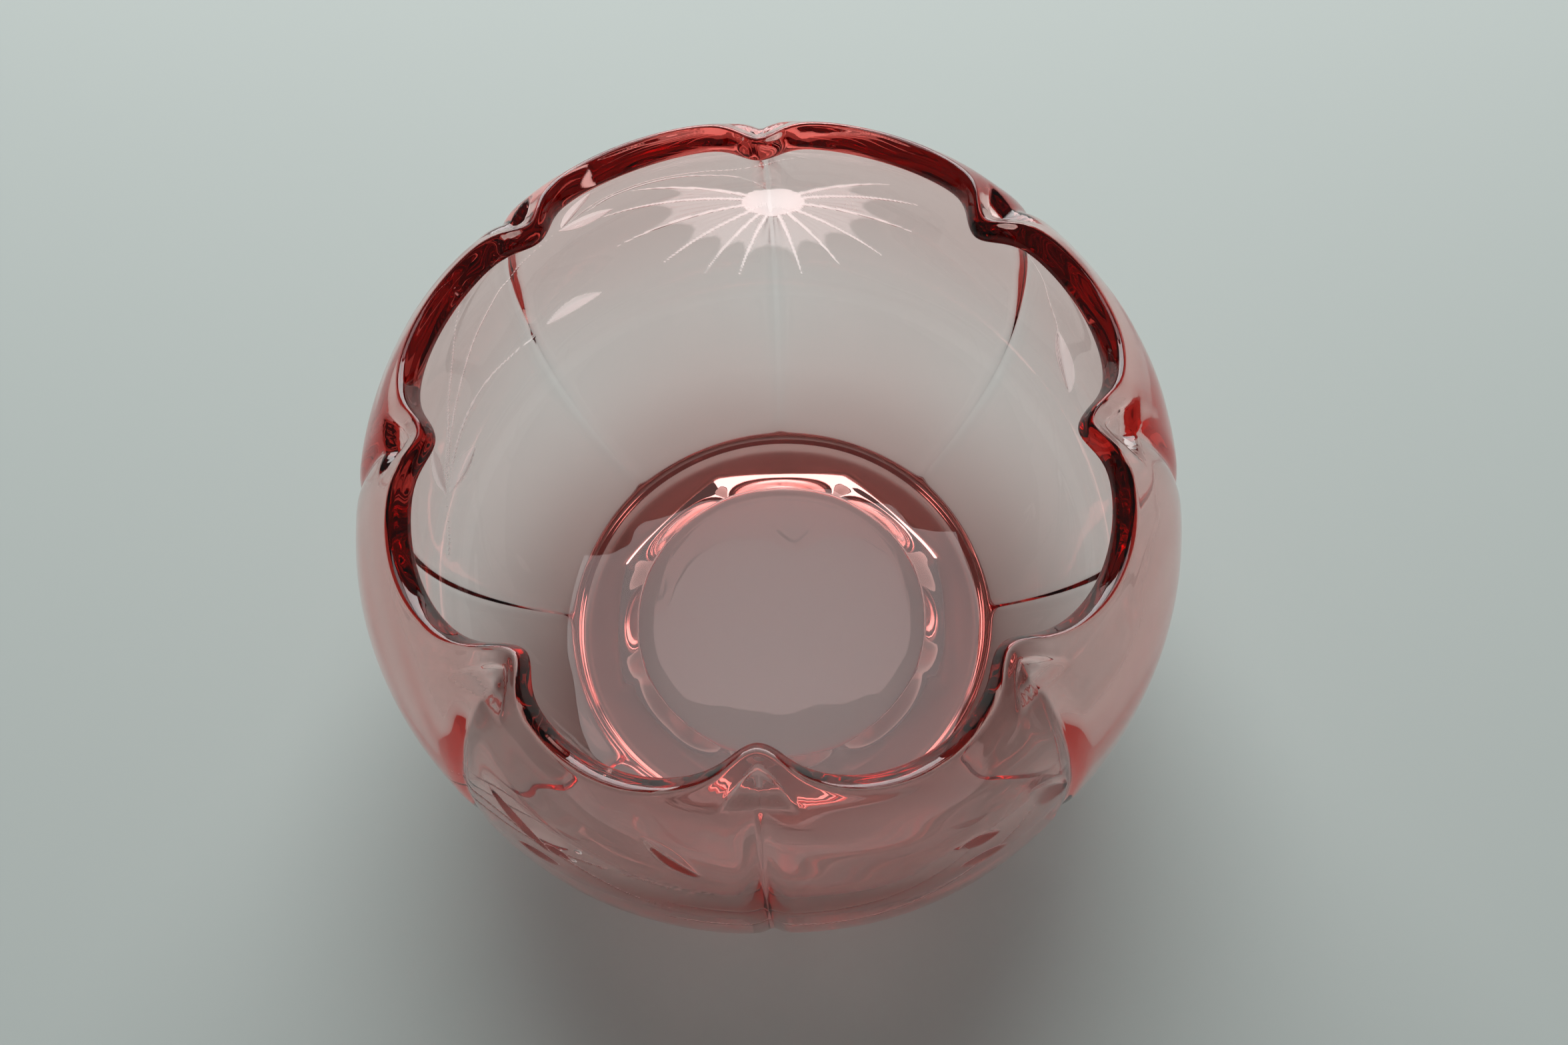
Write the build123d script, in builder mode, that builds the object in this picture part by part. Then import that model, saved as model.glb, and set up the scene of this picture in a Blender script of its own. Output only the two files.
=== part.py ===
from build123d import *

import os
from math import cos, radians, sin

os.makedirs("parts", exist_ok=True)

# Rose bowl in pressed pink glass, in millimetres. +Z is the bowl's axis, pointing out of the mouth.
# The origin is the centre of the face that the foot stands on.
PANELS = 8  # wall panels, each between two creases, and one rim scallop over each panel

BELLY_RADIUS = 82.5  # outside, at the widest ring
BELLY_HEIGHT = 66.0  # height of the widest ring above the table
WALL = 5.8

FOOT_HEIGHT = 7.5
FOOT_CORNER_RADIUS = 47.6  # foot corners under the middles of the panels
FOOT_CREASE_RADIUS = 46.4  # foot corners under the creases
FOOT_EDGE = 2.0  # rounding from the foot's wall to the narrow ring that touches the table
RECESS_TOP_RADIUS = 32.8  # the clear disc seen from inside is the ceiling of this conical recess
RECESS_RADIUS = 42.6  # the recess at the table

FLOOR_HEIGHT = 12.5  # inside floor above the table

# Each profile is two superellipse quarters that meet at the belly: (height of the quarter, exponent).
OUTSIDE_LOWER = (66.0, 2.5)
OUTSIDE_UPPER = (67.0, 2.165)
INSIDE_LOWER = (BELLY_HEIGHT - FLOOR_HEIGHT, 3.3)
INSIDE_UPPER = (61.5, 2.165)

# The creases are shallow on the belly and deepen into a dent under each rim cusp.
CREASE_DEPTH = 0.9
DENT_DEPTH = 2.2
DENT_START = 88.0  # height where a crease starts to deepen

RIM_LOBE_HEIGHT = 103.5  # outer lip edge at the middle of a scallop
RIM_LEAN = 40.0  # degrees that the wall leans in from the vertical at the rim
SCALLOP_RADIUS = 31.0
RIM_TOP = 112.0  # the blank is this high before the scallops are cut
LIP_EDGE = 1.5  # fire-polished rounding of the lip
LIP_BAND = 97.0  # only the lip's edges have their middles above this height

SECTION_HEIGHTS = (FOOT_HEIGHT, 10.0, 15.0, 23.0, 34.0, 50.0, 66.0, 80.0, 91.0, 101.0, RIM_TOP)
INSIDE_UPPER_HEIGHTS = (76.0, 86.0, 96.0, 104.0, RIM_TOP + 2.0)
INSIDE_LOWER_RADII = (18.0, 33.0, 46.0, 58.0, 67.0, 73.0)


def superellipse_radius(z, radius, lower, upper):
    """Radius of a profile at height z."""
    size, power = upper if z > BELLY_HEIGHT else lower
    return radius * (1 - (abs(z - BELLY_HEIGHT) / size) ** power) ** (1 / power)


def superellipse_height(r, radius, lower):
    """Height of the lower half of a profile at radius r."""
    size, power = lower
    return BELLY_HEIGHT - size * (1 - (r / radius) ** power) ** (1 / power)


def crease_depth(z):
    """How far a crease stands in from the round outside at height z."""
    dent = max(0.0, (z - DENT_START) / (RIM_TOP - DENT_START))
    return CREASE_DEPTH + (DENT_DEPTH - CREASE_DEPTH) * dent


def polar(radius, degrees):
    return radius * cos(radians(degrees)), radius * sin(radians(degrees))


PITCH = 360 / PANELS
INSIDE_RADIUS = BELLY_RADIUS - WALL

# Bowl body: a blank of eight arched panels, hollowed by a turned inside, with a scalloped rim.
with BuildPart() as bowl_body:
    for height in SECTION_HEIGHTS:
        middle = superellipse_radius(height, BELLY_RADIUS, OUTSIDE_LOWER, OUTSIDE_UPPER)
        crease = middle - crease_depth(height)
        with BuildSketch(Plane.XY.offset(height)):
            with BuildLine():
                for panel in range(PANELS):
                    start = panel * PITCH
                    ThreePointArc(
                        polar(crease, start),
                        polar(middle, start + PITCH / 2),
                        polar(crease, start + PITCH),
                    )
            make_face()
    loft()

    with BuildSketch(Plane.XZ) as hollow:
        with BuildLine():
            lower = Spline(
                (0, FLOOR_HEIGHT),
                *[(r, superellipse_height(r, INSIDE_RADIUS, INSIDE_LOWER)) for r in INSIDE_LOWER_RADII],
                (INSIDE_RADIUS, BELLY_HEIGHT),
                tangents=[(1, 0), (0, 1)],
            )
            upper = Spline(
                (INSIDE_RADIUS, BELLY_HEIGHT),
                *[
                    (superellipse_radius(z, INSIDE_RADIUS, INSIDE_LOWER, INSIDE_UPPER), z)
                    for z in INSIDE_UPPER_HEIGHTS
                ],
                tangents=[(0, 1), (-sin(radians(RIM_LEAN)), cos(radians(RIM_LEAN)))],
            )
            Polyline(upper @ 1, (0, (upper @ 1).Y), (0, FLOOR_HEIGHT))
        make_face()
    revolve(axis=Axis.Z, mode=Mode.SUBTRACT)

    # Each scallop is cut square to the wall by a round cutter over the middle of a panel.
    lip_radius = superellipse_radius(RIM_LOBE_HEIGHT, BELLY_RADIUS, OUTSIDE_LOWER, OUTSIDE_UPPER)
    lean = radians(RIM_LEAN)
    cutter_r = lip_radius - SCALLOP_RADIUS * sin(lean)
    cutter_z = RIM_LOBE_HEIGHT + SCALLOP_RADIUS * cos(lean)
    for panel in range(PANELS):
        across = radians((panel + 0.5) * PITCH)
        out = Vector(cos(across), sin(across), 0)
        square_to_wall = out * cos(lean) + Vector(0, 0, sin(lean))
        centre = out * cutter_r + Vector(0, 0, cutter_z)
        with BuildSketch(Plane(origin=centre, z_dir=square_to_wall)):
            Circle(SCALLOP_RADIUS)
        extrude(amount=2 * WALL, both=True, mode=Mode.SUBTRACT)

    # The lip's long edges are rounded, and the short ones across the cusps stay as they are.
    lip = bowl_body.edges().filter_by(lambda e: e.center().Z > LIP_BAND and e.length > 2 * WALL)
    fillet(lip, LIP_EDGE)
bowl_body.part.label = "bowl_body"

# Foot: a ring with two facets under each panel, around a conical recess that widens downward.
with BuildPart() as foot_ring:
    with BuildSketch():
        with BuildLine():
            corners = []
            for panel in range(PANELS):
                corners.append(polar(FOOT_CREASE_RADIUS, panel * PITCH))
                corners.append(polar(FOOT_CORNER_RADIUS, (panel + 0.5) * PITCH))
            Polyline(*corners, close=True)
        make_face()
    extrude(amount=FOOT_HEIGHT)
    fillet(foot_ring.edges().group_by(Axis.Z)[0], FOOT_EDGE)
    with Locations((0, 0, FOOT_HEIGHT / 2)):
        Cone(RECESS_RADIUS, RECESS_TOP_RADIUS, FOOT_HEIGHT, mode=Mode.SUBTRACT)
foot_ring.part.label = "foot_ring"

export_step(bowl_body.part, "parts/bowl_body.step")
export_step(foot_ring.part, "parts/foot_ring.step")
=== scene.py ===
import math

import bpy
import numpy as np
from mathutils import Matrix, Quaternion, Vector


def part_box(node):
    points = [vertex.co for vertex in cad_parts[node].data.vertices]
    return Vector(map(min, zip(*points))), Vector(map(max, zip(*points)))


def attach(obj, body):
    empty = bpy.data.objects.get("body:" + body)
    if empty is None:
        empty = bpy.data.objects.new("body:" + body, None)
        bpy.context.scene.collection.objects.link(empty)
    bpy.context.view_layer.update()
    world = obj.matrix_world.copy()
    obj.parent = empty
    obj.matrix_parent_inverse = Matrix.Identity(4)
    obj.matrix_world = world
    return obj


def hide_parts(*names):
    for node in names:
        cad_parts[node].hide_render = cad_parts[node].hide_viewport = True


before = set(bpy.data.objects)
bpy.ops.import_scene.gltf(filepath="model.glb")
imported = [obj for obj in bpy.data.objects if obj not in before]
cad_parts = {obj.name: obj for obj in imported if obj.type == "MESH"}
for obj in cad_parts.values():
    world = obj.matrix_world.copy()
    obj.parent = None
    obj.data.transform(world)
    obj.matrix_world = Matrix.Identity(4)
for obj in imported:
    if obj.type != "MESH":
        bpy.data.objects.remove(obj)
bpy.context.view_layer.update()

MM = 0.001

# ---------------------------------------------------------------------------------------------
# Sizes, in millimetres. The height of the foot comes from the CAD's foot ring.
# ---------------------------------------------------------------------------------------------
foot_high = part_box("foot_ring")[1]
FOOT_HEIGHT = foot_high.z / MM

PANELS = 8  # each lies between two creases
PANEL = 2 * math.pi / PANELS
BELLY_RADIUS = 82.44  # outside, at the widest ring
BELLY_HEIGHT = 66.0
FLOOR_THICKNESS = 5.0
FLOOR_HEIGHT = FOOT_HEIGHT + FLOOR_THICKNESS
INSIDE_RADIUS = 76.7
# Each side of the wall is two superellipse quarters: (height of the quarter, exponent).
OUTSIDE_LOWER = (66.0, 2.5)
OUTSIDE_UPPER = (67.0, 2.165)
INSIDE_LOWER = (BELLY_HEIGHT - FLOOR_HEIGHT, 3.3)
INSIDE_UPPER = (61.5, 2.165)
PROFILE_STEPS = 4000  # points along a quarter
TANGENT_STEP = 0.3

WAVE = 0.05  # height of the slow waves in the glass
RIPPLE = 0.14  # height of the shorter ripples that the closing-in of the shoulder leaves outside
SHOULDER_LENGTH = 108.0  # arc length up the outside at which the ripples are strongest
SHOULDER_SPREAD = 18.0
WAVE_END = 10.0  # distance below the lip over which the waves die out
WAVE_START = 12.0  # arc length over which they grow
INSIDE_WAVE_START = 50.0  # inside they also grow over this, which keeps the floor flat

CREASE_DEPTH = 0.9
CREASE_ROUND = 0.4  # half width of the rounded bottom of a crease
VALLEY_DEPTH = (1.0, 1.2)  # a valley along each crease, at the foot and at the lip
VALLEY_HALF = (3.2, 5.0)
VALLEY_FADE = (4.0, 8.0)  # distances below the lip between which the valley and the seam start
SEAM_HEIGHT = 0.11  # the mould seam, a fine ridge along the bottom of each crease
SEAM_WIDTH = 0.32
VALLEY_SHAPE = 1.7  # 1 is a V, and more makes the sides hollow
VALLEY_GROWTH = 1.5  # more keeps a valley narrow until nearer the lip
DIMPLE_DEPTH = 1.8  # the diamond-shaped dimple outside each cusp of the rim
DIMPLE_HALF = (6.2, 4.0)  # its half width and half height
DIMPLE_SIDE = 0.5  # share of its half width that its sloping side takes up
DIMPLE_BELOW_LIP = 6.0
DIMPLE_SHAPE = 1.3  # 1 is a straight-sided diamond, 2 is an ellipse
# How far the wall is pinched inward at each cusp, from +X counterclockwise. It was done by hand,
# so each differs.
PINCHES = (3.7, 3.5, 2.1, 2.0, 2.1, 4.1, 2.7, 2.0)
PINCH_WIDTH = 5.4
PINCH_LENGTH = 8.0

OUTER_LOBE_HEIGHT = 103.0  # height of the lip's edges at the middle of a scallop
INNER_LOBE_HEIGHT = 99.1
OUTER_RIM_RADIUS = 66.0
INNER_RIM_RADIUS = 62.5
SCALLOP_RADIUS = 31.0
CUSP_ROUND = 4.4  # half width of the rounded top of a cusp
LIP_ROUND = 1.7
LIP_SQUARENESS = 3.4  # exponent of the lip's superellipse section, where 2 is an ellipse
JOIN = 3.2  # arc length of the outside that the concave join at the foot takes up
JOIN_START = 5.4  # height on the foot's wall at which it starts
JOIN_BEND = 8.0  # height of its curve's middle control point

RECESS_TOP_RADIUS = 32.8  # the ceiling of the recess under the foot
# At the table the recess has eight sides, with their middles under the creases.
RECESS_CREASE_RADIUS = 39.9
RECESS_CORNER_RADIUS = 43.2
RECESS_ROUNDNESS = 0.1  # 0 has flat sides, 1 is a circle
RECESS_CURVE = 1.7  # 1 is a straight cone, and more makes it steep beside the ceiling
FOOT_RADIUS = 47.2
FOOT_EDGE = 2.0  # rounding from the foot's wall to the face that it stands on
FOOT_WALL_TOP = 5.0

COLUMNS_PER_PANEL = 44
COLUMN_CROWDING = 0.22  # spacing of the columns at a crease, against that between creases
COLUMN_FADE = 0.05  # angle over which it grows
COLUMN_SAMPLES = 500
OUTSIDE_ROWS = 80
ROW_CROWDING = 0.4  # spacing of the outside rows at the lip, against their mean spacing
INSIDE_ROWS = 46
LIP_ROWS = 16


# ---------------------------------------------------------------------------------------------
# The surface of the glass
# ---------------------------------------------------------------------------------------------
def quarter(radius, height, exponent, rising):
    """Radius and height along a quarter of a superellipse, starting at the belly."""
    angle = np.linspace(0, math.pi / 2, PROFILE_STEPS)
    r = radius * np.cos(angle).clip(0) ** (2 / exponent)
    z = height * np.sin(angle) ** (2 / exponent)
    return r, BELLY_HEIGHT + (z if rising else -z)


class Profile:
    """One side of the wall, by its arc length from the lowest point upward."""

    def __init__(self, radius, lower, upper, z_start):
        r0, z0 = quarter(radius, *lower, False)
        r1, z1 = quarter(radius, *upper, True)
        r = np.concatenate([r0[::-1], r1[1:]])
        z = np.concatenate([z0[::-1], z1[1:]])
        keep = z >= z_start
        if z_start > z[0]:
            r_start = np.interp(z_start, z, r)
            r, z = np.append(r_start, r[keep]), np.append(z_start, z[keep])
        self.r, self.z = r, z
        self.s = np.append(0, np.cumsum(np.hypot(np.diff(r), np.diff(z))))

    def at(self, s):
        return np.interp(s, self.s, self.r), np.interp(s, self.s, self.z)

    def length_at_height(self, z):
        return np.interp(z, self.z, self.s)

    def tangent(self, s):
        r0, z0 = self.at(s - TANGENT_STEP)
        r1, z1 = self.at(s + TANGENT_STEP)
        n = np.hypot(r1 - r0, z1 - z0)
        return (r1 - r0) / n, (z1 - z0) / n


outside = Profile(BELLY_RADIUS, OUTSIDE_LOWER, OUTSIDE_UPPER, FOOT_HEIGHT)
inside = Profile(INSIDE_RADIUS, INSIDE_LOWER, INSIDE_UPPER, FLOOR_HEIGHT)


def from_crease(theta):
    """Angle to the nearest crease, from 0 to half a panel."""
    turn = np.mod(theta, PANEL)
    return np.minimum(turn, PANEL - turn)


def lip_length(theta, profile, lobe_height, rim_radius):
    """Arc length along a side of the wall at which the scalloped lip ends it."""
    a = from_crease(theta)
    cusp_t = rim_radius * math.sin(PANEL / 2)
    d = cusp_t - rim_radius * np.sin(PANEL / 2 - a)  # distance from the cusp along the rim
    t = cusp_t - d
    arc = SCALLOP_RADIUS - np.sqrt(SCALLOP_RADIUS**2 - t**2)
    t_join = cusp_t - CUSP_ROUND
    slope = t_join / math.sqrt(SCALLOP_RADIUS**2 - t_join**2)
    join = SCALLOP_RADIUS - math.sqrt(SCALLOP_RADIUS**2 - t_join**2)
    rounded = join + slope * CUSP_ROUND / 2 - slope * d**2 / (2 * CUSP_ROUND)
    rise = np.where(d < CUSP_ROUND, rounded, arc)
    return profile.length_at_height(lobe_height) + rise


def crease_depth(s, theta, s_lip, r):
    """Depth along the normal of the creases, with their valleys, seams and dimples."""
    a = from_crease(theta)
    across = r * a
    down = s_lip - s

    spread = (1 - a / (PANEL / 2)).clip(0, 1)
    flat = CREASE_ROUND / (r * PANEL / 2)  # share of the half panel over which the fold is rounded
    rounded = 1 - flat + (flat**2 - (1 - spread) ** 2) / (2 * flat)
    depth = CREASE_DEPTH * np.where(spread > 1 - flat, rounded, spread) ** 2

    share = (s / s_lip).clip(0, 1) ** VALLEY_GROWTH
    half = VALLEY_HALF[0] + (VALLEY_HALF[1] - VALLEY_HALF[0]) * share
    deep = VALLEY_DEPTH[0] + (VALLEY_DEPTH[1] - VALLEY_DEPTH[0]) * share
    bottom = (CREASE_ROUND + across**2 / CREASE_ROUND) / 2
    bottom = np.where(across < CREASE_ROUND, bottom, across)
    seam = SEAM_HEIGHT * np.exp(-((across / SEAM_WIDTH) ** 2))
    valley = deep * (1 - bottom / half).clip(0) ** VALLEY_SHAPE - seam
    start, stop = VALLEY_FADE
    depth = depth + valley * ((down - start) / (stop - start)).clip(0, 1)

    diamond = (across / DIMPLE_HALF[0]) ** DIMPLE_SHAPE
    diamond = diamond + (abs(down - DIMPLE_BELOW_LIP) / DIMPLE_HALF[1]) ** DIMPLE_SHAPE
    side = ((1 - diamond) / DIMPLE_SIDE).clip(0, 1)
    return depth + DIMPLE_DEPTH * side**2 * (3 - 2 * side)


def pinch_depth(s, theta, s_lip, r):
    """How far a side of the wall is moved along its normal by the pinch at the nearest cusp."""
    cusp = np.round(np.asarray(theta) / PANEL).astype(int) % PANELS
    across = r * from_crease(theta)
    fade = -(((s_lip - s) / PINCH_LENGTH) ** 2) - (across / PINCH_WIDTH) ** 2
    return np.array(PINCHES)[cusp] * np.exp(fade)


def waves(theta, s, side):
    """The slow unevenness of pressed glass, different outside (side 0) and inside (side 1).

    Multiples of theta are waves round the bowl, and multiples of s are radians for each mm up it.
    """
    a = WAVE * np.sin(5 * theta + 0.09 * s + side) * np.sin(0.11 * s + 2 * side)
    b = WAVE * np.sin(13 * theta - 0.05 * s + 4 * side) * np.sin(0.07 * s + 3 * theta)
    c = RIPPLE * np.sin(14 * theta + 0.15 * s + 3 * np.sin(3 * theta))
    c = c * np.sin(0.25 * s + 2 * np.sin(5 * theta))
    shoulder = np.exp(-(((s - SHOULDER_LENGTH) / SHOULDER_SPREAD) ** 2))
    return (a + b) * np.clip(s / WAVE_START, 0, 1) + c * shoulder * (1 - side)


def outer_point(s, theta, cut=0):
    """Radius and height of a point on the outside, by its arc length from the foot."""
    s_lip = outer_end(theta)
    r, z = outside.at(s)
    tr, tz = outside.tangent(s)
    depth = crease_depth(s, theta, s_lip, r) + pinch_depth(s, theta, s_lip, r) + cut
    depth = depth + waves(theta, s, 0) * ((s_lip - s) / WAVE_END).clip(0, 1)
    return r - tz * depth, z + tr * depth


def inner_point(s, theta):
    """Radius and height of a point on the inside, by its arc length from the floor's middle."""
    s_lip = inner_end(theta)
    r, z = inside.at(s)
    tr, tz = inside.tangent(s)
    depth = waves(theta, s, 1) * ((s_lip - s) / WAVE_END).clip(0, 1)
    depth = depth * (s / INSIDE_WAVE_START).clip(0, 1) ** 2
    depth = depth + pinch_depth(s, theta, s_lip, r)
    return r - tz * depth, z + tr * depth


def outer_end(theta):
    return lip_length(theta, outside, OUTER_LOBE_HEIGHT, OUTER_RIM_RADIUS) - LIP_ROUND


def inner_end(theta):
    return lip_length(theta, inside, INNER_LOBE_HEIGHT, INNER_RIM_RADIUS) - LIP_ROUND


def faceted_radius(theta, low, high):
    """Radius of a softened outline, low at the creases and with corners, high, between them."""
    a = from_crease(theta)
    half = PANEL / 2
    flat = low * high * math.sin(half) / (low * np.sin(a) + high * np.sin(half - a))
    smooth = (low + high) / 2 - (high - low) / 2 * np.cos(math.pi * a / half)
    return flat + RECESS_ROUNDNESS * (smooth - flat)


# ---------------------------------------------------------------------------------------------
# The wheel-cut decoration on the outside. A place is (degrees round the axis, height in mm).
# ---------------------------------------------------------------------------------------------
DAISY = (89.5, 60.5)
DAISY_CENTRE = (7.7, 5.5)  # half width and half height of the oval dish
DAISY_DISH_DEPTH = 1.0
# Each ray's angle, in degrees from the right as seen from inside the bowl, and its length
DAISY_RAYS = ((27, 31), (13, 36), (-7, 34), (-32, 31), (-55, 28), (-77, 27),
              (-111, 28), (-128, 30), (-149, 33), (-173, 38), (167, 42), (153, 36))
RAY_WIDTH, RAY_DEPTH, RAY_START, RAY_FROST = 1.15, 0.45, 0.1, 1.0
PETAL_INNER = 4.5  # distance from the daisy's middle at which rays and petals start
PETAL_REACH = 0.9  # outer end of a petal, against the shorter of the rays beside it
PETAL_DEPTH = 0.22
PETAL_LINES = 4  # fine wheel lines on a petal
GROOVE_STEP = 1.0
NEAR_FROST = 0.15  # the leaves of the near side are nearly polished


def flat_place(place):
    """A place on the outside as (arc round the belly, arc length up the wall), in mm."""
    degrees, height = place
    return math.radians(degrees) * BELLY_RADIUS, float(outside.length_at_height(height))


def smooth_line(places):
    """A Catmull-Rom line through places, cut into steps of about GROOVE_STEP."""
    p = np.array([flat_place(q) for q in places])
    p = np.vstack([2 * p[0] - p[1], p, 2 * p[-1] - p[-2]])
    out = []
    for a, b, c, d in zip(p[:-3], p[1:-2], p[2:-1], p[3:]):
        n = max(2, int(np.linalg.norm(c - b) / GROOVE_STEP))
        for t in np.arange(n)[:, None] / n:
            square = (2 * a - 5 * b + 4 * c - d) * t**2
            cube = (3 * b - a - 3 * c + d) * t**3
            out.append((2 * b + (c - a) * t + square + cube) / 2)
    return np.array([*out, p[-2]])


class Groove:
    """A thin mitre cut along a line. It runs out at both ends."""

    def __init__(self, places, width=0.8, depth=0.3, start=0.15, frost=0.8):
        self.line = smooth_line(places)
        self.frost = frost
        self.half, self.depth, self.start = width / 2, depth, start
        steps = np.linalg.norm(np.diff(self.line, axis=0), axis=1)
        self.at = np.append(0, np.cumsum(steps)) / steps.sum()

    def box(self):
        return self.line.min(0) - self.half, self.line.max(0) + self.half

    def __call__(self, x, y, margin):
        best = np.full(x.shape, 1e9)
        along = np.zeros(x.shape)
        ends = zip(self.line[:-1], self.line[1:], self.at[:-1], self.at[1:])
        for (x0, y0), (x1, y1), t0, t1 in ends:
            dx, dy = x1 - x0, y1 - y0
            t = (((x - x0) * dx + (y - y0) * dy) / (dx * dx + dy * dy)).clip(0, 1)
            d = np.hypot(x - x0 - t * dx, y - y0 - t * dy)
            nearer = d < best
            best = np.where(nearer, d, best)
            along = np.where(nearer, t0 + t * (t1 - t0), along)
        taper = np.minimum(1, (0.05 + along) / self.start) * np.minimum(1, 1.02 - along) ** 0.5
        half = self.half * taper.clip(0.01)
        return self.depth * taper * (1 - best / (half + margin)).clip(0)


class Leaf:
    """A lens-shaped cut from base to tip. Its deepest line lies to one side of the middle."""

    def __init__(self, base, tip, width, depth=0.55, ridge=0.3, bend=0.0, frost=0.75):
        self.frost = frost
        self.base, self.tip = np.array(flat_place(base)), np.array(flat_place(tip))
        self.half, self.depth, self.ridge, self.bend = width / 2, depth, ridge, bend

    def box(self):
        both = np.array([self.base, self.tip])
        return both.min(0) - 2 * self.half, both.max(0) + 2 * self.half

    def __call__(self, x, y, margin):
        axis = self.tip - self.base
        size = np.linalg.norm(axis)
        axis = axis / size
        a = ((x - self.base[0]) * axis[0] + (y - self.base[1]) * axis[1]) / size
        b = (x - self.base[0]) * -axis[1] + (y - self.base[1]) * axis[0]
        inside_leaf = np.sin(math.pi * a.clip(0, 1))
        b = b - self.bend * inside_leaf
        half = self.half * inside_leaf**0.8 + margin
        ridge = self.ridge * half
        right = (half - b) / (half - ridge + 1e-6)
        left = (half + b) / (half + ridge + 1e-6)
        slope = np.where(b > ridge, right, left)
        inside_range = (a > -margin / size) & (a < 1 + margin / size)
        return np.where(inside_range, self.depth * slope.clip(0) * (inside_leaf**0.5 + margin), 0)


class Dish:
    """The oval dish at the middle of the daisy."""

    frost = 1.0

    def __init__(self, place, half_width, half_height, depth):
        self.centre = np.array(flat_place(place))
        self.half = np.array((half_width, half_height))
        self.depth = depth

    def box(self):
        return self.centre - self.half, self.centre + self.half

    def __call__(self, x, y, margin):
        across = (x - self.centre[0]) / (self.half[0] + margin)
        up = (y - self.centre[1]) / (self.half[1] + margin)
        d = np.hypot(across, up)
        return self.depth * (1 - d**2).clip(0) ** 0.8


class Petal:
    """A broad shallow flute between two rays of the daisy, with fine wheel lines along it."""

    frost = 0.38

    def __init__(self, centre, start_angle, stop_angle, inner, outer, depth):
        self.centre = np.array(flat_place(centre))
        self.start, self.width = start_angle, (stop_angle - start_angle) % 360
        self.inner, self.outer, self.depth = inner, outer, depth

    def box(self):
        return self.centre - self.outer, self.centre + self.outer

    def __call__(self, x, y, margin):
        dx, dy = x - self.centre[0], y - self.centre[1]
        radius = np.hypot(dx, dy)
        turn = np.mod(np.degrees(np.arctan2(dy, -dx)) - self.start, 360) / self.width
        across = 4 * turn * (1 - turn)
        reach = self.outer * (1 - 0.3 * across.clip(0) ** 0.5)
        ends = ((radius - self.inner) / 2).clip(0, 1) * ((reach - radius + margin) / 2.5).clip(0, 1)
        lines = 0.8 + 0.2 * np.cos(2 * math.pi * PETAL_LINES * turn)
        return np.where(turn < 1, self.depth * (0.35 + 0.65 * across) * lines * ends, 0)


def daisy_place(angle, radius):
    """A place on the daisy. The angle turns from the right, seen from inside the bowl."""
    across = -math.cos(math.radians(angle)) * radius
    length = outside.length_at_height(DAISY[1]) + math.sin(math.radians(angle)) * radius
    return DAISY[0] + math.degrees(across / BELLY_RADIUS), float(outside.at(length)[1])


cuts = [Dish(DAISY, *DAISY_CENTRE, DAISY_DISH_DEPTH)]
for angle, radius in DAISY_RAYS:
    ray = [daisy_place(angle, PETAL_INNER), daisy_place(angle, radius)]
    cuts.append(Groove(ray, RAY_WIDTH, RAY_DEPTH, RAY_START, RAY_FROST))
for (a0, r0), (a1, r1) in zip(DAISY_RAYS[1:], DAISY_RAYS[:-1]):
    cuts.append(Petal(DAISY, a0, a1, PETAL_INNER, PETAL_REACH * min(r0, r1), PETAL_DEPTH))

# the spray on the left: its root, the two leaves there, three long stems, the leaves at the ends
# of two of them, and two thin stems towards the daisy
cuts += [
    Groove([(174.5, 30.5), (170, 32), (164.5, 36.5)], 0.5, 0.2),
    Leaf((164.5, 36.5), (161, 49.5), 4.6, ridge=-0.4),
    Leaf((164.2, 36), (154, 34.5), 5.2, ridge=0.45),
    Groove(
        [(164.5, 37), (157.5, 44.5), (153.5, 53), (149.5, 62.5), (147, 72), (145, 84)],
        0.75, 0.28, frost=1.0,
    ),
    Groove(
        [(163.7, 36.5), (155.5, 45.5), (150.5, 52), (144.5, 60), (139.5, 65.5), (135, 70),
         (124.5, 74.5)],
        0.75, 0.28, frost=1.0,
    ),
    Groove(
        [(162, 37), (159, 39), (151.5, 43), (145, 44.5), (138.5, 44), (131, 44)],
        0.9, 0.32, frost=1.0,
    ),
    Leaf((131.5, 44), (120.2, 42.8), 4.4, ridge=-0.35, bend=-0.8),
    Leaf((124.6, 74.2), (115.2, 71.2), 5.0, ridge=-0.45, bend=0.6),
    Leaf((124.3, 74.6), (119, 90), 4.4, ridge=0.3),
    Groove(
        [(124.3, 74.2), (117, 79), (109, 79.3), (99.5, 77), (94, 76), (88, 80), (80, 86)],
        0.5, 0.2,
    ),
    Groove(
        [(119.5, 76), (114.7, 78.3), (105.8, 77.4), (99.5, 74.7), (94.3, 71.4), (89.5, 65.5)],
        0.7, 0.28,
    ),
]
# the bud on the right and its stem
cuts += [
    Leaf((37.6, 55), (31.4, 40), 7.0, 0.6, 0.25),
    Groove([(37.4, 54.5), (34.6, 48), (32.2, 42)], 0.6, 0.75),
    Groove([(37.1, 53.6), (38.4, 57.7), (40.4, 62.5), (42.5, 70), (47, 80)], 0.5, 0.2),
]
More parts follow.
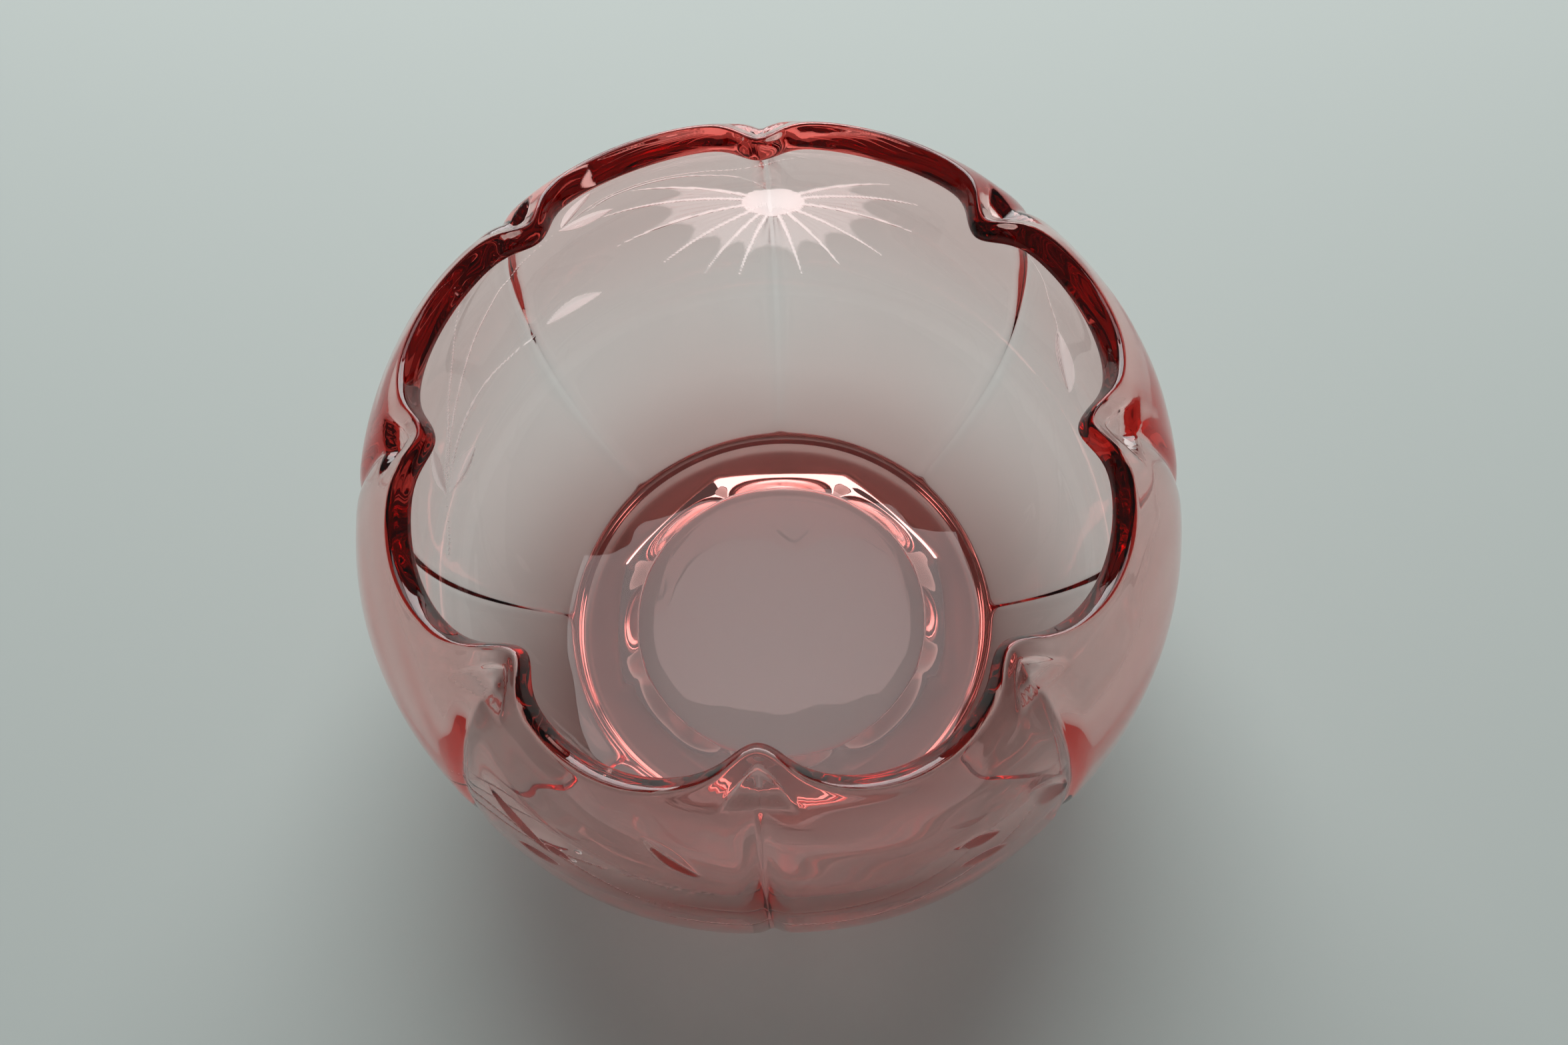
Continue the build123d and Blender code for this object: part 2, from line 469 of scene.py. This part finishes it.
# the near side: leaves along three thin stems
cuts += [
    Leaf((-129, 86.5), (-119, 77.5), 3.4, 0.7, 0.3, frost=NEAR_FROST),
    Leaf((-124.5, 71.5), (-118, 73), 4.6, 0.7, -0.3, frost=NEAR_FROST),
    Leaf((-120, 79.5), (-116, 79), 2.6, 0.6, 0.3, frost=NEAR_FROST),
    Leaf((-106, 94.5), (-98, 86), 4.4, 0.7, -0.3, frost=NEAR_FROST),
    Leaf((-53, 85), (-46.5, 73), 6.5, 0.8, 0.3, frost=NEAR_FROST),
    Leaf((-64, 73), (-57.5, 70), 4.4, 0.7, 0.3, frost=NEAR_FROST),
    Leaf((-64, 81.5), (-58.5, 79), 3.6, 0.7, 0.3, frost=NEAR_FROST),
    Groove(
        [(-140, 66), (-135, 72), (-130.5, 75.5), (-126, 77), (-115, 80.5), (-106, 81.5), (-98, 79)],
        0.5, 0.2,
    ),
    Groove([(-137, 76), (-129, 80), (-121, 79.5), (-113, 76), (-105, 71), (-97, 67.5)], 0.5, 0.2),
    Groove(
        [(-104, 63), (-96, 62), (-88, 61), (-80, 60.5), (-72, 62), (-63, 68), (-55, 76), (-48, 85)],
        0.5, 0.2,
    ),
]
SPLIT = 4  # a cell of the outside that a cut touches is split into this many along each side
CUT_MARGIN = 0.5  # distance from a cut at which a cell counts as touched
FROST_DEPTH = 0.08  # depth at which a cut is fully frosted
BOX_PAD = 0.5  # room added to a cut's box


def cut_surface(theta, s, margin=0.0):
    """Depth and frost of the cuts at points on the outside. A margin widens each cut."""
    degrees = np.mod(np.degrees(theta) + 180, 360) - 180
    x = np.radians(np.where(degrees < -150, degrees + 360, degrees)) * BELLY_RADIUS
    depth, frost = np.zeros(x.shape), np.zeros(x.shape)
    for cut in cuts:
        low, high = cut.box()
        pad = margin + BOX_PAD
        here = (x > low[0] - pad) & (x < high[0] + pad) & (s > low[1] - pad) & (s < high[1] + pad)
        if here.any():
            new = cut(x[here], s[here], margin)
            deeper = new > depth[here]
            frost[here] = np.where(deeper, cut.frost * (new / FROST_DEPTH).clip(0, 1), frost[here])
            depth[here] = np.where(deeper, new, depth[here])
    return depth, frost


def column_angles():
    """The angles of the mesh's columns, closer together at the creases."""
    a = np.linspace(0, PANEL / 2, COLUMN_SAMPLES)
    spacing = COLUMN_CROWDING + (1 - COLUMN_CROWDING) * (1 - np.exp(-a / COLUMN_FADE))
    number = np.append(0, np.cumsum(1 / spacing[:-1]))
    half = np.interp(np.linspace(0, number[-1], COLUMNS_PER_PANEL // 2 + 1), number, a)
    panel = np.append(half, PANEL - half[-2:0:-1])
    return np.concatenate([panel + k * PANEL for k in range(PANELS)])


theta = column_angles()
columns = len(theta)
one = np.ones(columns)


def outside_length(row, theta):
    """Arc length of a row of the outside, which may lie between two whole rows."""
    end = outer_end(theta)
    left = 1 - row / (OUTSIDE_ROWS - 1)
    return end - (end - JOIN) * (ROW_CROWDING * left + (1 - ROW_CROWDING) * left**2)


rows = []  # each row is (radius, height) by column, in order along the surface
# underside of the floor: the flat ceiling of the recess
for r in np.linspace(4, RECESS_TOP_RADIUS - 0.3, 9):
    rows.append((r * one, FOOT_HEIGHT * one))
# the wall of the recess, round at the ceiling and eight-sided at its lower edge
recess = faceted_radius(theta, RECESS_CREASE_RADIUS, RECESS_CORNER_RADIUS)
for t in np.append(0.02, np.linspace(0.08, 1, 10)):
    height = FOOT_HEIGHT * (1 - t) ** RECESS_CURVE
    rows.append((RECESS_TOP_RADIUS + t * (recess - RECESS_TOP_RADIUS), height * one))
# the face that the foot stands on, then its outer edge and round wall
foot = FOOT_RADIUS * one
for t in np.linspace(0.15, 0.92, 5):
    rows.append((recess + t * (foot - FOOT_EDGE - recess), 0 * one))
for a in np.radians(np.linspace(270, 360, 7)):
    height = FOOT_EDGE + FOOT_EDGE * math.sin(a)
    rows.append((foot - FOOT_EDGE + FOOT_EDGE * math.cos(a), height * one))
for z in np.linspace(FOOT_EDGE + 0.6, FOOT_WALL_TOP, 3):
    rows.append((foot, z * one))
# concave join from the foot to the belly
join_r, join_z = outer_point(JOIN, theta)
for t in np.linspace(0.12, 0.88, 7):
    w0, w1, w2 = (1 - t) ** 2, 2 * t * (1 - t), t**2
    height = w0 * JOIN_START + w1 * JOIN_BEND + w2 * join_z
    rows.append((w0 * foot + w1 * foot + w2 * join_r, height))
# the outside of the wall
first_outside = len(rows)
for i in range(OUTSIDE_ROWS):
    rows.append(outer_point(outside_length(i, theta), theta))
# the fire-polished lip
s_out, s_in = outer_end(theta), inner_end(theta)
out_r, out_z = outer_point(s_out, theta)
in_r, in_z = inner_point(s_in, theta)
tr0, tz0 = outside.tangent(s_out)
tr1, tz1 = inside.tangent(s_in)
up_r, up_z = tr0 + tr1, tz0 + tz1
length = np.hypot(up_r, up_z)
up_r, up_z = up_r / length * LIP_ROUND, up_z / length * LIP_ROUND
mid_r, mid_z = (out_r + in_r) / 2, (out_z + in_z) / 2
half_r, half_z = (out_r - in_r) / 2, (out_z - in_z) / 2
for a in np.linspace(0, math.pi, LIP_ROWS + 2)[1:-1]:
    c = math.copysign(abs(math.cos(a)) ** (2 / LIP_SQUARENESS), math.cos(a))
    s = math.sin(a) ** (2 / LIP_SQUARENESS)
    rows.append((mid_r + c * half_r + s * up_r, mid_z + c * half_z + s * up_z))
# the inside, down to the floor
for t in np.linspace(1, 0.03, INSIDE_ROWS):
    rows.append(inner_point(t * s_in, theta))

R = np.array([r for r, z in rows])
Z = np.array([z for r, z in rows])
n_rows = len(rows)


def around(r, z, theta):
    return np.stack([r * np.cos(theta), r * np.sin(theta), z], -1)


vertices = list(around(R, Z, theta).reshape(-1, 3))
cut_mask = [0.0] * len(vertices)
underside_centre = len(vertices)
floor_centre = underside_centre + 1
vertices += [np.array((0, 0, FOOT_HEIGHT)), np.array((0, 0, FLOOR_HEIGHT))]
cut_mask += [0.0, 0.0]

# The cells of the outside that a cut touches get SPLIT x SPLIT smaller ones.
angles = np.append(theta, 2 * math.pi)


def angle_at(column):
    """Angle of a column, which may lie between two whole columns."""
    whole = np.floor(column).astype(int)
    step = angles[np.minimum(whole + 1, columns)] - angles[whole]
    return angles[whole] + (column - whole) * step


row_grid, column_grid = np.meshgrid(np.arange(OUTSIDE_ROWS), np.arange(columns + 1), indexing="ij")
theta_grid = angle_at(column_grid.astype(float))
s_grid = outside_length(row_grid, theta_grid)
near = cut_surface(theta_grid, s_grid, CUT_MARGIN)[0] > 0
touched = near[:-1, :-1] | near[1:, :-1] | near[:-1, 1:] | near[1:, 1:]

points = []  # (row, column) of each added vertex
first_point = len(vertices)
edges = {}


def corner(i, j):
    """The vertex of the outside at whole row i and column j."""
    return (first_outside + i) * columns + j % columns


def edge(i, j, di, dj):
    """The vertices inside the edge from corner (i, j) to (i + di, j + dj), made once."""
    key = (i, j % columns, di, dj)
    if key not in edges:
        edges[key] = []
        for k in range(1, SPLIT):
            edges[key].append(first_point + len(points))
            points.append((i + di * k / SPLIT, (j % columns) + dj * k / SPLIT))
    return edges[key]


faces = []
for i, j in np.argwhere(touched).tolist():
    low, high = edge(i, j, 0, 1), edge(i + 1, j, 0, 1)
    left, right = edge(i, j, 1, 0), edge(i, j + 1, 1, 0)
    lattice = [[corner(i, j)] + low + [corner(i, j + 1)]]
    for k in range(1, SPLIT):
        middle = []
        for m in range(1, SPLIT):
            middle.append(first_point + len(points))
            points.append((i + k / SPLIT, j + m / SPLIT))
        lattice.append([left[k - 1]] + middle + [right[k - 1]])
    lattice.append([corner(i + 1, j)] + high + [corner(i + 1, j + 1)])
    for low, high in zip(lattice[:-1], lattice[1:]):
        for m in range(SPLIT):
            faces.append((low[m], low[m + 1], high[m + 1], high[m]))

# The other cells take in the added vertices on their edges.
for i in range(n_rows - 1):
    o = i - first_outside
    for j in range(columns):
        if 0 <= o < OUTSIDE_ROWS - 1 and touched[o, j]:
            continue
        k = (j + 1) % columns
        low = edges.get((o, j, 0, 1), [])
        right = edges.get((o, k, 1, 0), [])
        high = edges.get((o + 1, j, 0, 1), [])
        left = edges.get((o, j, 1, 0), [])
        loop = [i * columns + j, *low, i * columns + k, *right, (i + 1) * columns + k]
        faces.append((*loop, *reversed(high), (i + 1) * columns + j, *reversed(left)))
for j in range(columns):
    k = (j + 1) % columns
    faces.append((underside_centre, k, j))
    faces.append((floor_centre, (n_rows - 1) * columns + j, (n_rows - 1) * columns + k))

# places of the added vertices, and of the old corners in the cuts
added = np.array(points)
added_theta = angle_at(added[:, 1])
added_s = outside_length(added[:, 0], added_theta)
added_cut, added_frost = cut_surface(added_theta, added_s)
vertices += list(around(*outer_point(added_s, added_theta, added_cut), added_theta))
cut_mask += added_frost.tolist()
grid_cut, grid_frost = cut_surface(theta_grid, s_grid)
for i, j in np.argwhere(grid_cut[:, :-1] > 0).tolist():
    r, z = outer_point(s_grid[i, j], theta_grid[i, j], grid_cut[i, j])
    vertices[corner(i, j)] = around(r, z, theta_grid[i, j])
    cut_mask[corner(i, j)] = grid_frost[i, j]

# Seed bubbles in the wall: small hollows, longer along the wall, whose faces look inward.
# Each is (degrees round the axis, height, radius).
BUBBLES = ((-115.0, 81.5, 0.62), (-115.8, 77.0, 0.5), (-117.6, 79.0, 0.25))
BUBBLE_SINK = 2.6  # depth below the outside
BUBBLE_LENGTH = 1.5  # sizes against the radius
BUBBLE_THICKNESS = 0.8
BUBBLE_RISE = 0.35  # slope of a bubble's long axis
BUBBLE_RINGS, BUBBLE_SPOKES = 8, 14
for bubble_theta, bubble_z, bubble_size in BUBBLES:
    angle = math.radians(bubble_theta)
    length = outside.length_at_height(bubble_z)
    r, z = outside.at(length)
    tr, tz = outside.tangent(length)
    centre = around(r - tz * BUBBLE_SINK, z + tr * BUBBLE_SINK, angle)
    along = np.array((-math.sin(angle), math.cos(angle), BUBBLE_RISE))
    along /= np.linalg.norm(along)
    out = around(tz, -tr, angle)
    side = np.cross(along, out)
    base = len(vertices)
    rings, spokes = BUBBLE_RINGS, BUBBLE_SPOKES
    for m in range(rings + 1):
        polar = math.pi * m / rings
        for n in range(spokes if 0 < m < rings else 1):
            turn = 2 * math.pi * n / spokes
            ring = math.cos(turn) * side + BUBBLE_THICKNESS * math.sin(turn) * out
            offset = BUBBLE_LENGTH * math.cos(polar) * along
            offset = offset + math.sin(polar) * ring
            vertices.append(centre + bubble_size * offset)
            cut_mask.append(0.0)
    last = len(vertices) - 1
    for n in range(spokes):
        p = (n + 1) % spokes
        faces.append((base, base + 1 + p, base + 1 + n))
        faces.append((last, last - spokes + n, last - spokes + p))
        for m in range(rings - 2):
            row = base + 1 + m * spokes
            faces.append((row + n, row + p, row + spokes + p, row + spokes + n))

mesh = bpy.data.meshes.new("bowl_glass")
mesh.from_pydata((np.array(vertices) * MM).tolist(), [], faces)
mesh.update()
mesh.polygons.foreach_set("use_smooth", [True] * len(mesh.polygons))
frost = mesh.attributes.new("cut", "FLOAT", "POINT")
frost.data.foreach_set("value", np.array(cut_mask, np.float32))
bowl = bpy.data.objects.new("bowl_glass", mesh)
bpy.context.scene.collection.objects.link(bowl)

# ---------------------------------------------------------------------------------------------
# Materials
# ---------------------------------------------------------------------------------------------
GLASS_COLOUR = (0.9, 0.33, 0.27, 1)  # tint of the light that passes, which deepens with thickness
GLASS_DENSITY = 62.0
CUT_ROUGHNESS = 0.7
CUT_HAZE = 0.5  # share of the light that a fully ground cut scatters
SCRATCH_ROUGHNESS = 0.05
WEAR_ROUGHNESS = 0.18
WEAR_HEIGHT = 0.6  # mm above the table that the wear reaches
CORD_HEIGHT = 0.03  # mm
GRAIN_HEIGHT = 0.03  # mm
# The noises: scale in features per metre, and the stretch along each axis
HAIRLINE_SCALE, HAIRLINE_STRETCH = 260.0, (1.0, 0.12, 0.5)
GRIT_SCALE = 1500.0
CORD_SCALE, CORD_STRETCH = 70.0, (1.0, 1.0, 0.3)
GRAIN_SCALE, GRAIN_STRETCH = 2400.0, (1.0, 1.0, 0.2)


def new_material(name):
    material = bpy.data.materials.new(name)
    material.use_nodes = True
    tree = material.node_tree
    return material, tree, tree.nodes["Principled BSDF"], tree.nodes["Material Output"]


def add_node(tree, kind, **values):
    """A node with its inputs set by name. An underscore in a name stands for a space."""
    node = tree.nodes.new(kind)
    for name, value in values.items():
        node.inputs[name.replace("_", " ")].default_value = value
    return node


def combine(tree, operation, first, second):
    """A maths node. Each of its two inputs is a socket or a number."""
    node = tree.nodes.new("ShaderNodeMath")
    node.operation = operation
    for socket, value in zip(node.inputs, (first, second)):
        if isinstance(value, float):
            socket.default_value = value
        else:
            tree.links.new(value, socket)
    return node.outputs["Value"]


def add_noise(tree, place, scale, detail, stretch=(1.0, 1.0, 1.0)):
    """Noise over the object's own coordinates, with scale in features per metre."""
    mapping = add_node(tree, "ShaderNodeMapping", Scale=stretch)
    noise = add_node(tree, "ShaderNodeTexNoise", Scale=scale, Detail=detail)
    tree.links.new(place, mapping.inputs["Vector"])
    tree.links.new(mapping.outputs["Vector"], noise.inputs["Vector"])
    return noise.outputs["Fac"]


def add_range(tree, value, low, high, to_low, to_high):
    """A value's range from low to high, mapped to another range and held there."""
    limits = {"From_Min": low, "From_Max": high, "To_Min": to_low, "To_Max": to_high}
    node = add_node(tree, "ShaderNodeMapRange", **limits)
    tree.links.new(value, node.inputs["Value"])
    return node.outputs["Result"]


glass, tree, shader, output = new_material("pink_glass")
shader.inputs["Base Color"].default_value = (1, 1, 1, 1)
shader.inputs["IOR"].default_value = 1.5
shader.inputs["Transmission Weight"].default_value = 1
place = tree.nodes.new("ShaderNodeTexCoord").outputs["Object"]
cut_value = tree.nodes.new("ShaderNodeAttribute")
cut_value.attribute_name = "cut"
cut = cut_value.outputs["Fac"]

# Roughness: clear fired glass, ground cuts, faint hairline scratches, and wear under the foot.
ground_roughness = combine(tree, "MULTIPLY", cut, CUT_ROUGHNESS)
hairlines = add_noise(tree, place, HAIRLINE_SCALE, 2.0, HAIRLINE_STRETCH)
scratches = add_range(tree, hairlines, 0.66, 0.72, 0.0, SCRATCH_ROUGHNESS)
height = tree.nodes.new("ShaderNodeSeparateXYZ")
tree.links.new(place, height.inputs["Vector"])
contact = add_range(tree, height.outputs["Z"], 0.0, WEAR_HEIGHT * MM, 1.0, 0.0)
grit = add_range(tree, add_noise(tree, place, GRIT_SCALE, 4.0), 0.3, 0.7, 0.5, 1.0)
wear = combine(tree, "MULTIPLY", combine(tree, "MULTIPLY", contact, grit), WEAR_ROUGHNESS)
sum_roughness = combine(tree, "ADD", combine(tree, "ADD", ground_roughness, scratches), wear)
tree.links.new(sum_roughness, shader.inputs["Roughness"])

# Bumps: cords left in the glass by the pressing, and the grain that the wheel leaves in the cuts.
cords = add_noise(tree, place, CORD_SCALE, 2.0, CORD_STRETCH)
cord_bump = add_node(tree, "ShaderNodeBump", Strength=1.0, Distance=CORD_HEIGHT * MM)
tree.links.new(cords, cord_bump.inputs["Height"])
wheel_marks = add_noise(tree, place, GRAIN_SCALE, 3.0, GRAIN_STRETCH)
grain = combine(tree, "MULTIPLY", wheel_marks, cut)
grain_bump = add_node(tree, "ShaderNodeBump", Strength=1.0, Distance=GRAIN_HEIGHT * MM)
tree.links.new(grain, grain_bump.inputs["Height"])
tree.links.new(cord_bump.outputs["Normal"], grain_bump.inputs["Normal"])
tree.links.new(grain_bump.outputs["Normal"], shader.inputs["Normal"])

# The surface is the glass mixed with the scatter of the ground cuts, and its inside is tinted.
ground = add_node(tree, "ShaderNodeBsdfTranslucent", Color=(0.95, 0.95, 0.95, 1))
both = tree.nodes.new("ShaderNodeMixShader")
tree.links.new(combine(tree, "MULTIPLY", cut, CUT_HAZE), both.inputs["Fac"])
tree.links.new(shader.outputs["BSDF"], both.inputs[1])
tree.links.new(ground.outputs["BSDF"], both.inputs[2])
tree.links.new(both.outputs["Shader"], output.inputs["Surface"])
tint = add_node(tree, "ShaderNodeVolumeAbsorption", Color=GLASS_COLOUR, Density=GLASS_DENSITY)
tree.links.new(tint.outputs["Volume"], output.inputs["Volume"])
mesh.materials.append(glass)

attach(bowl, "root")
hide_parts("bowl_body", "foot_ring")

# ---------------------------------------------------------------------------------------------
# Stage: floor, light and camera
# ---------------------------------------------------------------------------------------------
FLOOR_HALF = 3.0
FLOOR_LEVEL = -0.0002  # just below the foot
FLOOR_COLOUR = (0.535, 0.60, 0.575, 1)
WORLD_STRENGTH = 0.1
LIGHT_TARGET = (0, 0, 0.06)

floor_corners = [(-1, -1), (1, -1), (1, 1), (-1, 1)]
floor_mesh = bpy.data.meshes.new("floor")
floor_mesh.from_pydata(
    [(FLOOR_HALF * x, FLOOR_HALF * y, FLOOR_LEVEL) for x, y in floor_corners], [], [(0, 1, 2, 3)]
)
floor = bpy.data.objects.new("floor", floor_mesh)
bpy.context.scene.collection.objects.link(floor)
paper, tree, shader, output = new_material("floor_paper")
shader.inputs["Base Color"].default_value = FLOOR_COLOUR
shader.inputs["Roughness"].default_value = 0.7
floor_mesh.materials.append(paper)

world = bpy.data.worlds.new("studio")
bpy.context.scene.world = world
world.use_nodes = True
world.node_tree.nodes["Background"].inputs["Color"].default_value = (1, 1, 1, 1)
world.node_tree.nodes["Background"].inputs["Strength"].default_value = WORLD_STRENGTH


def softbox(name, location, width, height, watts):
    """A rectangular lamp aimed at the bowl, in metres and watts."""
    light = bpy.data.lights.new(name, "AREA")
    light.shape = "RECTANGLE"
    light.size, light.size_y = width, height
    light.energy = watts
    lamp = bpy.data.objects.new(name, light)
    lamp.location = location
    aim = Vector(LIGHT_TARGET) - Vector(location)
    lamp.rotation_euler = aim.to_track_quat("-Z", "Y").to_euler()
    bpy.context.scene.collection.objects.link(lamp)


softbox("low_back_light", (0, 1.3, 0.5), 1.5, 1.0, 29)
softbox("high_back_light", (0, 0.9, 1.5), 1.2, 1.0, 9.5)

# The camera looks down at the bowl and is rolled a little clockwise. Angles are in degrees, lengths
# in metres, and the lens in mm.
CAMERA_AZIMUTH = -84.64
CAMERA_ELEVATION = 66.0
CAMERA_ROLL = 6.06
CAMERA_DISTANCE = 0.401
LENS = 45.6
AIM = Vector((0.0031, -0.0012, 0.066))
az, el = math.radians(CAMERA_AZIMUTH), math.radians(CAMERA_ELEVATION)
back = Vector((math.cos(el) * math.cos(az), math.cos(el) * math.sin(az), math.sin(el)))
camera_data = bpy.data.cameras.new("camera")
camera_data.lens = LENS
camera_data.sensor_width = 36
camera_data.clip_start = 0.01
camera = bpy.data.objects.new("camera", camera_data)
camera.location = AIM + CAMERA_DISTANCE * back
level = (-back).to_track_quat("-Z", "Y")
roll = Quaternion((0, 0, 1), math.radians(-CAMERA_ROLL))
camera.rotation_euler = (level @ roll).to_euler()
bpy.context.scene.collection.objects.link(camera)
bpy.context.scene.camera = camera

# Light passes many surfaces of clear glass. The clamp keeps glints inside it from blowing out.
cycles = bpy.context.scene.cycles
cycles.max_bounces = 32
cycles.transmission_bounces = 32
cycles.glossy_bounces = 16
cycles.use_denoising = True
cycles.sample_clamp_indirect = 1.5
bpy.context.scene.view_settings.view_transform = "Standard"
